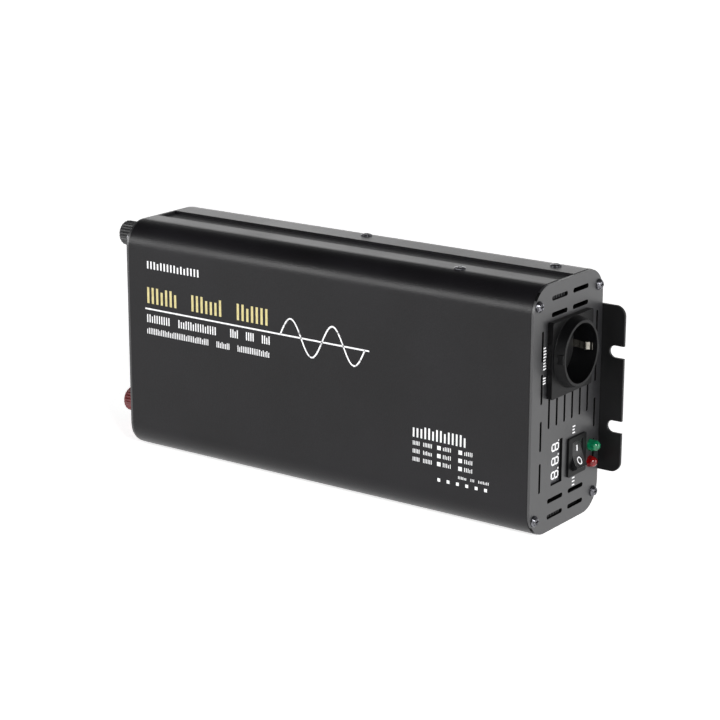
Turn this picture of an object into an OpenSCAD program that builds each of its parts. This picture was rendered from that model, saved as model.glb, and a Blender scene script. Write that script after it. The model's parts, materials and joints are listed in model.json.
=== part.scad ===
// Power inverter in an extruded aluminium case.
// Two half shells close over two heat-sink rails. A sheet panel with the outlet closes one end and
// a sheet panel with the battery terminals and the fan closes the other. A flanged plate holds it.
//
// It stands on a narrow side: X runs from the terminal end to the outlet end, Y from the printed
// front face to the back plate and Z up. The origin is the centre of its footprint, on the floor.
// at(x, y, z) places a shape x mm from the terminal panel's outer face, y mm from the front face
// and z mm above the floor.

/* [Case] */
// Length over the two end panels
body_l = 335; // [325:1:420]
// Depth of the shells, front face to back face
body_d = 86; // [84:1:110]
// Height of the case
body_h = 165; // [158:1:220]
// Radius of the four long corners
corner_r = 18.7; // [14:0.1:20]
// Wall of the extruded shells
shell_t = 2.2; // [1.6:0.1:3]
// Thickness of the two sheet end panels
panel_t = 2; // [1.5:0.1:2.6]
// Step from the shells' outer face in to a panel's edge
panel_inset = 0.3; // [0:0.1:0.8]
// Front face to the channel that parts the two shells
channel_y = 31.5; // [28:0.5:36]
// Width of that channel
channel_w = 19.4; // [10:0.2:24]

/* [Screws] */
// Radius of the panel and case screws
screw_r = 1.75; // [1.5:0.05:2.2]
// Radius of their pan heads
head_r = 3.7; // [3.3:0.1:4.2]
// Height of their pan heads
head_h = 2.4; // [2:0.1:2.6]
// Height of the lower heads on the case's narrow side
low_head_h = 1.4; // [1.2:0.1:2]
// Front or back face to a panel screw
panel_screw_y = 6; // [5.8:0.1:7]
// Top or bottom face to a panel screw
panel_screw_z = 12.2; // [11:0.1:14]
// Outside radius of the screw channels in the shells
boss_r = 3.8; // [3.4:0.1:4.2]

/* [Heat-sink rails] */
// Thickness of a rail
rail_t = 4; // [3:0.5:6]
// Front or back face to a rail's edge
rail_inset = 13.5; // [11:0.5:15]
// Number of cooling fins on a rail
fin_n = 6; // [3:1:8]
// Spacing of the fins
fin_pitch = 3.1; // [2.4:0.1:3.5]
// Thickness of a fin
fin_t = 1.2; // [0.8:0.1:1.6]
// How far the fins stand in from a rail
fin_h = 6; // [3:0.5:6]

/* [Back plate] */
// Thickness of the back plate
plate_t = 2; // [1.6:0.1:3]
// Height of the back plate
plate_h = 112.8; // [100:0.2:125]
// How far its flanges reach past the end panels
flange_l = 16.5; // [15:0.5:30]
// Corner radius of the flanges
flange_r = 7; // [3:0.5:12]
// Width of the open mounting notches
notch_w = 8.2; // [5:0.1:10]
// Depth of the notches
notch_l = 10.6; // [8:0.2:13]
// Spacing of the two notches in one flange
notch_pitch = 50.8; // [40:0.2:60]

/* [Vents] */
// Width of the upright vent slots
slot_w = 2.2; // [1.5:0.1:3]
// Spacing of the upright slots
slot_pitch = 9.62; // [9:0.01:9.9]
// Front face to the first upright slot
slot_y = 11.65; // [11:0.05:13]
// Length of the slots in the two outer columns
slot_l = 19.9; // [12:0.1:24]
// Width of the level vent slots
bar_w = 3; // [2:0.1:4]
// Length of the level slots
bar_l = 19; // [14:0.5:22]

/* [Outlet] */
// Width of the outlet's square base
outlet_w = 50; // [48:0.5:52]
// Thickness of that base
outlet_t = 4; // [3:0.2:6]
// Radius of the plug recess
recess_r = 19.5; // [17:0.1:20]
// Depth of the plug recess, rim to floor
recess_depth = 17.5; // [15:0.5:20]
// Wall of the round collar at its rim
collar_t = 1.9; // [1.5:0.1:2.2]
// How far the collar's rim stands off the panel
collar_h = 10.5; // [8:0.5:14]
// Front face to the outlet's centre
outlet_y = 42.3; // [40:0.1:44]
// Outlet's centre down from the top face
outlet_drop = 48.2; // [47:0.1:54]
// How far the middle of the base is below the outlet's centre
base_drop = 1.5; // [0:0.1:1.5]
// Distance of each pin hole from the centre
pin_offset = 9.5; // [9:0.1:10]
// Radius of the pin holes
pin_hole_r = 2.6; // [2.5:0.05:3]

/* [Switch] */
// Width of the switch bezel
bezel_w = 22.2; // [20:0.1:23]
// Height of the switch bezel
bezel_h = 26.1; // [25:0.1:28]
// Thickness of the bezel in front of the panel
bezel_t = 1.5; // [1.2:0.1:2]
// Width of the rocker's opening
rocker_gap_w = 12.8; // [11:0.1:14]
// Height of the rocker's opening
rocker_gap_h = 19.8; // [18:0.1:21]
// Front face to the middle of the switch
switch_y = 56.2; // [55:0.1:57]
// Floor to the middle of the switch
switch_z = 43.8; // [42:0.1:46]
// Angle that the rocker swings from on to off
rocker_swing = 30; // [20:1:30]
// Radius of the rocker's hinge pins
pivot_r = 1; // [0.7:0.05:1.1]

/* [Display and lamps] */
// Width of the display window
window_w = 13.6; // [12:0.1:14.5]
// Height of the display window
window_h = 29.3; // [25:0.1:31]
// Front face to the middle of the window
window_y = 32.4; // [31:0.1:33]
// Floor to the middle of the window
window_z = 45; // [43:0.1:47]
// Radius of the indicator lamps' stems, in the panel
lamp_r = 2.5; // [2:0.05:2.5]
// Radius of the lamps' caps, in front of the panel
cap_r = 4; // [3.5:0.1:4]
// How far the green lamp stands out of the panel
green_h = 7.4; // [5:0.1:8]
// How far the red lamp stands out
red_h = 5.6; // [5:0.1:8]
// Front face to the lamps
lamp_y = 74.8; // [73:0.1:74.8]
// Floor to the upper, green lamp
green_z = 45.7; // [44:0.1:48]
// Floor to the lower, red lamp
red_z = 34.3; // [32:0.1:35]

/* [Battery terminals] */
// Distance of each terminal above or below the middle
terminal_z = 62.8; // [60:0.1:63]
// Radius of the threaded studs
stud_r = 4; // [3:0.1:4.8]
// Radius of the grip knobs
knob_r = 9; // [8:0.1:11]
// Length of the grip knobs
knob_l = 30.4; // [28:0.1:34]
// Number of grooves around a knob
knob_grooves = 22; // [12:1:28]
// Radius of the insulating bushes outside the panel
bush_r = 12; // [11:0.5:13]
// Thickness of those bushes
bush_t = 6; // [4:0.2:8]
// Radius of the washers
washer_r = 8.2; // [7:0.1:9]
// Thickness of the washers
washer_t = 1.6; // [1:0.1:2]

/* [Fan] */
// Width of the square fan frame
fan_w = 70; // [58:1:76]
// Depth of the fan frame
fan_t = 25; // [20:1:28]
// Spacing of the fan's screws
fan_pitch = 60; // [48:1:64]
// Radius of the duct through the fan frame
duct_r = 32.6; // [27:0.1:34]
// Radius of the rotor's hub
hub_r = 13; // [11:0.5:15]
// Number of blades
blade_n = 7; // [5:1:9]
// Radius of the guard's wire
wire_r = 0.8; // [0.6:0.1:1]

/* [Circuit] */
// Thickness of the circuit boards
board_t = 1.6; // [1:0.1:2]
// Back face of the shells to the main board's component side
board_y = 14.8; // [13:0.1:17]
// Number of power transistors on each rail
fet_n = 8; // [4:1:8]
// Number of transformers
transformer_n = 3; // [1:1:3]
// Width of a transformer's core
core_w = 42; // [36:1:44]
// Number of battery-side capacitors
input_cap_n = 5; // [3:1:5]
// Radius of those capacitors
input_cap_r = 8; // [6:0.5:8.5]
// Number of high-voltage capacitors
bus_cap_n = 3; // [1:1:3]
// Radius of the high-voltage capacitors
bus_cap_r = 15; // [11:0.5:16]

/* [Fits] */
// Clearance around a part that drops into a cut-out
slip = 0.2; // [0.1:0.05:0.3]
// Radial clearance of a part that turns on a pin or stud
running = 0.05; // [0.03:0.01:0.08]

/* [Hidden] */
$fn = 48;

// Where the case sits, so that the footprint is centred on the origin
knob_reach = bush_t + washer_t + knob_l;
case_x = (knob_reach - flange_l - body_l) / 2;
case_y = -(body_d + plate_t) / 2;
shell_l = body_l - 2 * panel_t;
inside_x = body_l - panel_t;
mid_z = body_h / 2;
rail_in = shell_t + rail_t;
// How far a cut runs past what it cuts, and how far a blind screw hole stops short
cut = 1;
blind = 1;

// Countersunk screws: head radius, and pan head's flat rim
flush_r = 3.8;
rim_h = 0.8;
head_taper = 0.62;
cross_w = 0.9;
cross_d = 1.3;
cross_reach = 0.55;
// Screws through the narrow sides: distance from the outlet end, and from the front face
case_screws = [[68, 20], [173.6, 64.8], [22.6, 63.2]];
case_screw_l = rail_in - slip;
panel_screw_l = 14;
plate_screw_x = [20, body_l / 2, body_l - 20];
plate_screw_z = 45;
plate_screw_l = 6.2;

// Fins stand where the level slots of the outlet panel show them
fin_y = 23.4;

// Level slots: middles from the front face, and heights from the nearer narrow side
bar_y = [31.3, 57.1];
bar_z = [10.1, 20.8];
// Outer columns of upright slots: heights from the middle of the case
slot_z = [15.5, 43.4];
// Middle columns of upright slots: length below the outlet's base, and length hidden behind it
slot_below = 20.4;
slot_behind = 2;

outlet_z = body_h - outlet_drop;
base_z = outlet_z - base_drop;
outlet_corner_r = 1.6;
// How much wider the collar is at its root than at its rim
collar_flare = 2;
recess_x = body_l + collar_h - recess_depth;
insert_t = 3;
holder_w = 30;
holder_h = 33;
holder_t = 14;
holder_corner_r = 2;
sleeve_r = 3.3;
sleeve_l = 12;
sleeve_end = 1;
tab_w = 5;
tab_t = 0.8;
tab_l = 7;
clip_w = 5;
clip_t = 0.8;
clip_bow_r = 6;
clip_rise = 1.6;
// How far the clips and the ribs end below the collar's rim
clip_drop = 3;
rib_drop = 0.4;
rib_w = 6.2;
rib_h = 1.2;

bezel_r = 1.2;
switch_wall = 1.5;
switch_depth = 20;
pivot_x = -0.6;
rocker_r = rocker_gap_h / 2 - slip;
rocker_w = rocker_gap_w - 2 * slip;
rocker_edge = 64.3;
rocker_dish_r = 20;
rocker_back = 4;
pivot_l = 1.2;

display_t = 8;
display_rim = 1.8;
// How much narrower a lamp's dome is than its cap, in radius
cap_taper = 0.4;
lamp_rim_r = 2.9;
lamp_rim_t = 1;
lead_r = 0.3;
lead_l = 6;
lead_gap = 1.27;

terminal_y = body_d / 2;
terminal_heights = [mid_z + terminal_z, mid_z - terminal_z];
bush_neck_r = 7;
bush_neck_l = 5;
nut_flat = 13;
nut_t = 6.5;
stud_out = 30;
// How far a stud passes its last nut
stud_past = 1;
knob_depth = 26;
knob_edge_r = 1.6;
groove_r = 0.6;
groove_end = 1;
strap_t = 2;
strap_w = 12;
strap_top = 7;
strap_l = 48;

fan_corner_r = 4;
fan_z = mid_z;
fan_y = body_d / 2;
motor_t = 4;
motor_strut_w = 4;
shaft_r = 1.5;
blade_t = 1.4;
blade_tilt = 38;
blade_l = 15;
rotor_front = 3;
rotor_gap = 1;
tip_gap = 1;
guard_rings = [9, 16.5, 24, 31];
fan_screw_l = 14;
// Part of the guard's wire radius that its rings sink into the crossed wires
guard_weld = 0.5;

main_y = body_d - board_y;
board_start = 34;
board_end = 52;
board_gap = 0.8;
board_hole_z = 24;
board_holes = [56, 160, 275];
standoff_r = 3;
standoff_hole = 6;
transformer_x = 100;
transformer_pitch = 50;
transformer_z = mid_z - 25;
core_h = 32;
core_t = 20;
core_leg = 7;
winding_t = 34;
input_cap_x = 64;
input_cap_pitch = 20;
input_cap_l = 28;
bus_cap_x = 110;
bus_cap_pitch = 40;
bus_cap_z = mid_z + 38;
bus_cap_l = 40;
choke_x = 246;
choke_z = mid_z - 25;
choke_in_r = 9;
choke_out_r = 17;
choke_h = 13;
choke_wrap = 3;
film_x = 244;
film_z = mid_z + 22;
film_w = 26;
film_h = 18;
film_t = 11;
film_pitch = 16;
fet_w = 16;
fet_h = 20;
fet_t = 5;
fet_lead_l = 4.2;
fet_lead_w = 1.2;
fet_lead_pitch = 5;
fet_x = 70;
fet_pitch = 24;
clamp_w = 7;
clamp_t = 2;
clamp_y = 56;
control_x = 90;
control_l = 100;
control_z = mid_z + 6;
control_h = 30;
chip_w = 12;
chip_t = 1.4;
chip_pitch = 24;
chip_n = 4;
fuse_x = 41;
fuse_pitch = 13;
fuse_n = 4;
fuse_w = 5;
fuse_l = 9;
fuse_h = 16;
block_x = 274;
block_w = 10;
block_h = 34;
block_t = 14;
core_wire_r = 1.3;
thin_wire_r = 0.7;
// How far a wire runs straight where it leaves a part
lead_out = 5;
// Where the switch's and the fan's wires meet the main board, and how far above it they turn
switch_wire_in = 4;
switch_wire_rise = 8;
fan_wire_in = 3;
fan_wire_rise = 6;
fan_wire_drop = 6;

module at(x, y, z) {
    translate([case_x + x, case_y + y, z]) children();
}

// Extrudes an outline of the YZ plane along X
module along_x(length) {
    rotate([90, 0, 90]) linear_extrude(length) children();
}

// A round bar along X, along Y or along Z from the current place
module rod_x(r, length) {
    rotate([0, 90, 0]) cylinder(r = r, h = length);
}

module rod_y(r, length) {
    rotate([-90, 0, 0]) cylinder(r = r, h = length);
}

module rounded(w, h, r) {
    translate([r, 0]) square([w - 2 * r, h]);
    translate([0, r]) square([w, h - 2 * r]);
    for (x = [r, w - r], y = [r, h - r]) translate([x, y]) circle(r);
}

module rounded_mid(w, h, r) {
    translate([-w / 2, -h / 2]) rounded(w, h, r);
}

module stadium(length, w) {
    square([length - w, w], center = true);
    for (side = [-1, 1]) translate([side * (length - w) / 2, 0]) circle(w / 2);
}

function unit(v) = v / norm(v);

// Direction of a route at one of its points: halfway between the runs that meet there
function heading(route, i) =
    unit(
        (i > 0 ? unit(route[i] - route[i - 1]) : [0, 0, 0])
        + (i < len(route) - 1 ? unit(route[i + 1] - route[i]) : [0, 0, 0])
    );

// How far a mitred ring widens so that the wire keeps its thickness around a bend
function mitre(route, i) = 1 / (heading(route, i) * unit(route[max(i, 1)] - route[max(i, 1) - 1]));

// An eight-sided wire along a level route
module wire(route, r) {
    sides = 8;
    last = len(route) - 1;
    points = [
        for (i = [0 : last], k = [0 : sides - 1])
            let (way = heading(route, i), angle = k * 360 / sides)
                route[i]
                + r * cos(angle) * mitre(route, i) * [-way.y, way.x, 0]
                + [0, 0, r * sin(angle)]
    ];
    walls = [
        for (i = [0 : last - 1], k = [0 : sides - 1])
            [
                i * sides + k,
                (i + 1) * sides + k,
                (i + 1) * sides + (k + 1) % sides,
                i * sides + (k + 1) % sides
            ]
    ];
    start_cap = [for (k = [0 : sides - 1]) k];
    end_cap = [for (k = [sides - 1 : -1 : 0]) last * sides + k];
    polyhedron(points, concat(walls, [start_cap, end_cap]));
}

// A pan-head screw along Z: the head stands up from z = 0 and the shank runs down
module pan_screw(length, height = head_h) {
    difference() {
        union() {
            cylinder(r = head_r, h = rim_h);
            translate([0, 0, rim_h])
                cylinder(r1 = head_r, r2 = head_r * head_taper, h = height - rim_h);
            translate([0, 0, -length]) cylinder(r = screw_r, h = length);
        }
        for (turn = [0, 90])
            rotate([0, 0, turn])
                translate([-head_r * cross_reach, -cross_w / 2, height - cross_d])
                    cube([2 * head_r * cross_reach, cross_w, cross_d + cut]);
    }
}

// A countersunk screw along Z with its flat head level with z = 0
module flush_screw(length, sink) {
    difference() {
        union() {
            translate([0, 0, -sink]) cylinder(r1 = screw_r, r2 = flush_r, h = sink);
            translate([0, 0, -length]) cylinder(r = screw_r, h = length);
        }
        for (turn = [0, 90])
            rotate([0, 0, turn])
                translate([-flush_r * cross_reach, -cross_w / 2, -cross_d])
                    cube([2 * flush_r * cross_reach, cross_w, cross_d + cut]);
    }
}

// The hole that a countersunk screw fills
module flush_hole(sink) {
    translate([0, 0, -sink]) cylinder(r1 = screw_r, r2 = flush_r, h = sink);
}

// ---- Case ----

module case_outline(inset) {
    translate([inset, inset])
        rounded(body_d - 2 * inset, body_h - 2 * inset, corner_r - inset);
}

module case_ring() {
    difference() {
        case_outline(0);
        case_outline(shell_t);
    }
}

module panel_screw_places(ys) {
    for (y = ys, z = [panel_screw_z, body_h - panel_screw_z]) translate([y, z]) children();
}

// One half of the extrusion, between two depths, with its two screw channels
module shell_outline(low_y, high_y, screw_y) {
    difference() {
        union() {
            intersection() {
                case_ring();
                translate([low_y, 0]) square([high_y - low_y, body_h]);
            }
            intersection() {
                case_outline(0);
                panel_screw_places([screw_y]) circle(boss_r);
            }
        }
        panel_screw_places([screw_y]) circle(screw_r);
    }
}

// Cuts for the screws through one narrow side, at the given height
module case_screw_places(from_y, to_y) {
    for (place = case_screws)
        if (place.y > from_y && place.y < to_y) at(body_l - place.x, place.y, 0) children();
}

module shell_screw_cuts(from_y, to_y) {
    case_screw_places(from_y, to_y) {
        translate([0, 0, body_h - shell_t - cut])
            cylinder(r = screw_r + slip, h = shell_t + 2 * cut);
        mirror([0, 0, 1]) flush_hole(shell_t);
    }
}

module front_shell() {
    color("#2e2d30")
        difference() {
            at(panel_t, 0, 0)
                along_x(shell_l) shell_outline(0, channel_y, panel_screw_y);
            shell_screw_cuts(0, channel_y);
        }
}

module plate_screw_places() {
    for (x = plate_screw_x, side = [-1, 1]) at(x, 0, mid_z + side * plate_screw_z) children();
}

module rear_shell() {
    color("#2e2d30")
        difference() {
            at(panel_t, 0, 0)
                along_x(shell_l)
                    shell_outline(channel_y + channel_w, body_d, body_d - panel_screw_y);
            shell_screw_cuts(channel_y + channel_w, body_d);
            plate_screw_places()
                translate([0, body_d - shell_t - cut, 0]) rod_y(screw_r, shell_t + 2 * cut);
        }
}

module rail_outline() {
    intersection() {
        case_outline(shell_t);
        translate([rail_inset, body_h - rail_in])
            square([body_d - 2 * rail_inset, rail_in]);
    }
    for (i = [0 : fin_n - 1])
        translate([fin_y + i * fin_pitch, body_h - rail_in - fin_h])
            square([fin_t, fin_h + rail_t / 2]);
}

// The upper rail; the lower one is its mirror image
module rail_solid() {
    difference() {
        at(panel_t, 0, 0) along_x(shell_l) rail_outline();
        case_screw_places(0, body_d)
            translate([0, 0, body_h - rail_in - cut])
                cylinder(r = screw_r, h = rail_t + 2 * cut);
        clamp_screw_places()
            translate([0, 0, body_h - rail_in - cut])
                cylinder(r = screw_r, h = cut + rail_t - blind);
    }
}

// Turns a shape made for the upper rail into the one for the lower rail
module to_bottom() {
    translate([0, 0, body_h]) mirror([0, 0, 1]) children();
}

module top_rail() {
    color("#3b3b3e") rail_solid();
}

module bottom_rail() {
    color("#3b3b3e") to_bottom() rail_solid();
}

module panel_outline() {
    translate([panel_inset, panel_inset])
        rounded(body_d - 2 * panel_inset, body_h - 2 * panel_inset, corner_r - panel_inset);
}

module vent_outlines() {
    for (column = [0, 7], side = [-1, 1], z = slot_z)
        translate([slot_y + column * slot_pitch, mid_z + side * z])
            rotate(90) stadium(slot_l, slot_w);
    for (column = [1 : 6])
        translate([
            slot_y + column * slot_pitch,
            base_z - outlet_w / 2 + (slot_behind - slot_below) / 2
        ])
            rotate(90) stadium(slot_below + slot_behind, slot_w);
    for (y = bar_y, z = bar_z, height = [z, body_h - z])
        translate([y, height]) stadium(bar_l, bar_w);
}

module outlet_panel() {
    color("#343437")
        at(inside_x, 0, 0)
            along_x(panel_t)
                difference() {
                    panel_outline();
                    vent_outlines();
                    panel_screw_places([panel_screw_y, body_d - panel_screw_y])
                        circle(screw_r + slip);
                    translate([outlet_y, outlet_z]) circle(recess_r + collar_t + slip);
                    translate([window_y, window_z])
                        square([window_w, window_h], center = true);
                    translate([switch_y, switch_z])
                        square([switch_box_w() + 2 * slip, switch_box_h() + 2 * slip],
                            center = true);
                    for (z = [green_z, red_z])
                        translate([lamp_y, z]) circle(lamp_r + slip);
                }
}

module terminal_panel() {
    color("#343437")
        at(0, 0, 0)
            along_x(panel_t)
                difference() {
                    panel_outline();
                    panel_screw_places([panel_screw_y, body_d - panel_screw_y])
                        circle(screw_r + slip);
                    for (z = terminal_heights)
                        translate([terminal_y, z]) circle(bush_neck_r + slip);
                    translate([fan_y, fan_z]) {
                        circle(duct_r);
                        for (y = [-1, 1], z = [-1, 1])
                            translate([y, z] * fan_pitch / 2) circle(screw_r + slip);
                    }
                }
}

module outlet_panel_screws() {
    color("#1c1c1e")
        for (y = [panel_screw_y, body_d - panel_screw_y])
            for (z = [panel_screw_z, body_h - panel_screw_z])
                at(body_l, y, z) rotate([0, 90, 0]) pan_screw(panel_screw_l);
}

module terminal_panel_screws() {
    color("#1c1c1e")
        for (y = [panel_screw_y, body_d - panel_screw_y])
            for (z = [panel_screw_z, body_h - panel_screw_z])
                at(0, y, z) rotate([0, -90, 0]) pan_screw(panel_screw_l);
}

module top_case_screws() {
    color("#1c1c1e")
        case_screw_places(0, body_d)
            translate([0, 0, body_h]) pan_screw(case_screw_l, low_head_h);
}

// Countersunk, so that the case stands flat on this side
module bottom_case_screws() {
    color("#1c1c1e")
        case_screw_places(0, body_d)
            mirror([0, 0, 1]) flush_screw(case_screw_l, shell_t);
}

// ---- Back plate ----

module back_plate() {
    plate_l = body_l + 2 * flange_l;
    color("#232325")
        difference() {
            at(body_l / 2, body_d, mid_z)
                rotate([-90, 0, 0])
                    linear_extrude(plate_t)
                        difference() {
                            rounded_mid(plate_l, plate_h, flange_r);
                            for (side = [-1, 1], row = [-1, 1])
                                translate([side * plate_l / 2, row * notch_pitch / 2])
                                    stadium(2 * notch_l, notch_w);
                        }
            plate_screw_places()
                translate([0, body_d + plate_t, 0]) rotate([-90, 0, 0]) flush_hole(plate_t);
        }
}

module back_plate_screws() {
    color("#1c1c1e")
        plate_screw_places()
            translate([0, body_d + plate_t, 0])
                rotate([-90, 0, 0]) flush_screw(plate_screw_l, plate_t);
}

// ---- Outlet ----

module outlet_body() {
    rear_x = recess_x - insert_t;
    color("#1b1b1c")
        difference() {
            union() {
                at(body_l, outlet_y, base_z)
                    along_x(outlet_t) rounded_mid(outlet_w, outlet_w, outlet_corner_r);
                at(rear_x, outlet_y, outlet_z)
                    rod_x(recess_r + collar_t, body_l + collar_h - rear_x);
                at(body_l + outlet_t, outlet_y, outlet_z)
                    rotate([0, 90, 0])
                        cylinder(
                            r1 = recess_r + collar_t + collar_flare,
                            r2 = recess_r + collar_t,
                            h = collar_h - outlet_t
                        );
                for (side = [-1, 1])
                    at(body_l, outlet_y + side * (recess_r + collar_t), outlet_z)
                        along_x(collar_h - rib_drop)
                            square([2 * rib_h, rib_w], center = true);
            }
            at(rear_x - cut, outlet_y, outlet_z)
                rod_x(recess_r, body_l + collar_h - rear_x + 2 * cut);
        }
}

module pin_places() {
    for (side = [-1, 1]) translate([0, side * pin_offset]) children();
}

// The recess floor with its pin holes, and the contact holder behind it
module outlet_insert() {
    color("#262628")
        at(recess_x - insert_t - holder_t, outlet_y, outlet_z)
            difference() {
                union() {
                    along_x(holder_t) rounded_mid(holder_w, holder_h, holder_corner_r);
                    translate([holder_t, 0, 0]) rod_x(recess_r, insert_t);
                }
                translate([holder_t - cut, 0, 0])
                    along_x(insert_t + 2 * cut) pin_places() circle(pin_hole_r);
                along_x(holder_t) pin_places() circle(sleeve_r);
                translate([holder_t, 0, 0])
                    along_x(insert_t + cut)
                        for (side = [-1, 1])
                            translate([side * (clip_y() + clip_t / 2), 0])
                                square([2 * clip_t, clip_w], center = true);
            }
}

// Middle of an earth clip's strip, which lies along the recess wall
function clip_y() = sqrt(recess_r * recess_r - clip_w * clip_w / 4) - clip_t / 2;

module outlet_contacts() {
    color("#b9a15a")
        at(recess_x - insert_t, outlet_y, outlet_z)
            for (side = [-1, 1])
                translate([0, 0, side * pin_offset]) {
                    translate([-sleeve_l, 0, 0])
                        difference() {
                            rod_x(sleeve_r, sleeve_l);
                            translate([sleeve_end, 0, 0]) rod_x(pin_hole_r - running, sleeve_l);
                        }
                    translate([-holder_t - tab_l, -tab_w / 2, -tab_t / 2])
                        cube([tab_l + holder_t - sleeve_l, tab_w, tab_t]);
                }
}

// Sprung strips along the recess wall, bowed inwards to meet the plug's side contacts
module earth_clips() {
    strip_x = recess_x - insert_t;
    strip_l = recess_depth + insert_t - clip_drop;
    color("#d6d3c8")
        for (side = [0, 1])
            at(strip_x, outlet_y, outlet_z)
                mirror([0, side, 0])
                    translate([0, clip_y(), 0])
                        linear_extrude(clip_w, center = true) {
                            translate([0, -clip_t / 2]) square([strip_l, clip_t]);
                            translate([strip_l - clip_bow_r, -clip_t / 2])
                                intersection() {
                                    translate([0, clip_bow_r - clip_rise]) circle(clip_bow_r);
                                    translate([-clip_bow_r, -clip_rise])
                                        square([2 * clip_bow_r, clip_rise + clip_t]);
                                }
                        }
}

// ---- Switch ----

function switch_box_w() = rocker_gap_w + 2 * switch_wall;
function switch_box_h() = rocker_gap_h + switch_wall;

module switch_body() {
    color("#222224")
        at(body_l, switch_y, switch_z)
            difference() {
                union() {
                    along_x(bezel_t) rounded_mid(bezel_w, bezel_h, bezel_r);
                    translate([-switch_depth, 0, 0])
                        along_x(switch_depth + bezel_t / 2)
                            square([switch_box_w(), switch_box_h()], center = true);
                }
                translate([switch_wall - switch_depth, 0, 0])
                    along_x(switch_depth + bezel_t)
                        square([rocker_gap_w, rocker_gap_h], center = true);
                translate([pivot_x, -rocker_gap_w / 2 - pivot_l, 0])
                    rod_y(pivot_r + running, rocker_gap_w + 2 * pivot_l);
            }
}

// Side view of the rocker about its pivot: round ends and a dished front, in the X and Z plane
module rocker_outline() {
    edge_x = rocker_r * cos(rocker_edge);
    edge_z = rocker_r * sin(rocker_edge);
    difference() {
        intersection() {
            circle(rocker_r);
            translate([-rocker_back, -rocker_r]) square([rocker_back + edge_x, 2 * rocker_r]);
        }
        translate([edge_x + sqrt(rocker_dish_r * rocker_dish_r - edge_z * edge_z), 0])
            circle(rocker_dish_r);
    }
}

// At rest it is pressed in at the top, the on position
module power_rocker() {
    color("#2a2a2c")
        at(body_l + pivot_x, switch_y, switch_z) {
            rotate([90, -rocker_swing / 2, 0])
                linear_extrude(rocker_w, center = true) rocker_outline();
            translate([0, -rocker_gap_w / 2 - pivot_l + slip, 0])
                rod_y(pivot_r, rocker_gap_w + 2 * (pivot_l - slip));
        }
}

module switch_tabs() {
    color("#c9c5b8")
        for (z = [-1, 1])
            at(body_l - switch_depth - tab_l, switch_y, switch_z + z * tab_w)
                translate([0, -tab_w / 2, -tab_t / 2]) cube([tab_l, tab_w, tab_t]);
}

// ---- Display and lamps ----

module display_module() {
    color("#3c3c40")
        at(inside_x - display_t, window_y, window_z)
            along_x(display_t)
                square([window_w + 2 * display_rim, window_h + 2 * display_rim], center = true);
}

module display_board() {
    color("#1f5a35")
        at(inside_x - display_t - board_t, window_y, window_z)
            along_x(board_t)
                square([window_w + 4 * display_rim, window_h + 4 * display_rim], center = true);
}

// A lamp on its leads, with its stem through the panel and a tapered, domed cap in front
module lamp(z, height) {
    dome_r = cap_r - cap_taper;
    at(inside_x, lamp_y, z) {
        rod_x(lamp_r, panel_t);
        translate([panel_t, 0, 0])
            rotate([0, 90, 0]) cylinder(r1 = cap_r, r2 = dome_r, h = height - dome_r);
        translate([panel_t + height - dome_r, 0, 0])
            intersection() {
                sphere(dome_r);
                along_x(dome_r) square(2 * dome_r, center = true);
            }
        translate([-lamp_rim_t, 0, 0]) rod_x(lamp_rim_r, lamp_rim_t);
        for (side = [-1, 1])
            translate([-lamp_rim_t - lead_l, 0, side * lead_gap])
                rod_x(lead_r, lead_l);
    }
}

module green_lamp() {
    color("#12a065") lamp(green_z, green_h);
}

module red_lamp() {
    color("#b01018") lamp(red_z, red_h);
}

module lamp_board() {
    low_z = red_z - 2 * lamp_rim_r;
    high_z = green_z + 2 * lamp_rim_r;
    color("#1f5a35")
        at(inside_x - lamp_rim_t - lead_l - board_t, lamp_y, 0)
            along_x(board_t)
                translate([-2 * lamp_r, low_z]) square([4 * lamp_r, high_z - low_z]);
}

// ---- Fan ----

module fan_corners() {
    for (y = [-1, 1], z = [-1, 1]) translate([0, y * fan_pitch / 2, z * fan_pitch / 2]) children();
}

module fan_frame() {
    color("#1a1a1b")
        at(panel_t, fan_y, fan_z)
            difference() {
                union() {
                    along_x(fan_t)
                        difference() {
                            rounded_mid(fan_w, fan_w, fan_corner_r);
                            circle(duct_r);
                        }
                    translate([fan_t - motor_t, 0, 0]) {
                        rod_x(hub_r, motor_t);
                        along_x(motor_t)
                            for (turn = [45, 135])
                                rotate(turn)
                                    square([2 * (duct_r + cut), motor_strut_w], center = true);
                    }
                }
                translate([-cut, 0, 0]) fan_corners() rod_x(screw_r, fan_t + 2 * cut);
                translate([fan_t - motor_t - cut, 0, 0]) rod_x(shaft_r + running, motor_t);
            }
}

// Hub, shaft and tilted blades whose tips follow the duct
module fan_rotor() {
    blade_reach = duct_r - tip_gap;
    rotor_l = fan_t - motor_t - rotor_gap - rotor_front;
    color("#1f1f20")
        at(panel_t + rotor_front, fan_y, fan_z) {
            rod_x(hub_r, rotor_l);
            translate([rotor_l, 0, 0]) rod_x(shaft_r, motor_t);
            intersection() {
                rod_x(blade_reach, rotor_l);
                for (i = [0 : blade_n - 1])
                    rotate([i * 360 / blade_n, 0, 0])
                        translate([rotor_l / 2, 0, hub_r - blade_t])
                            rotate([0, 0, blade_tilt])
                                translate([-blade_l / 2, -blade_t / 2, 0])
                                    cube([blade_l, blade_t, blade_reach]);
            }
        }
}

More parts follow.
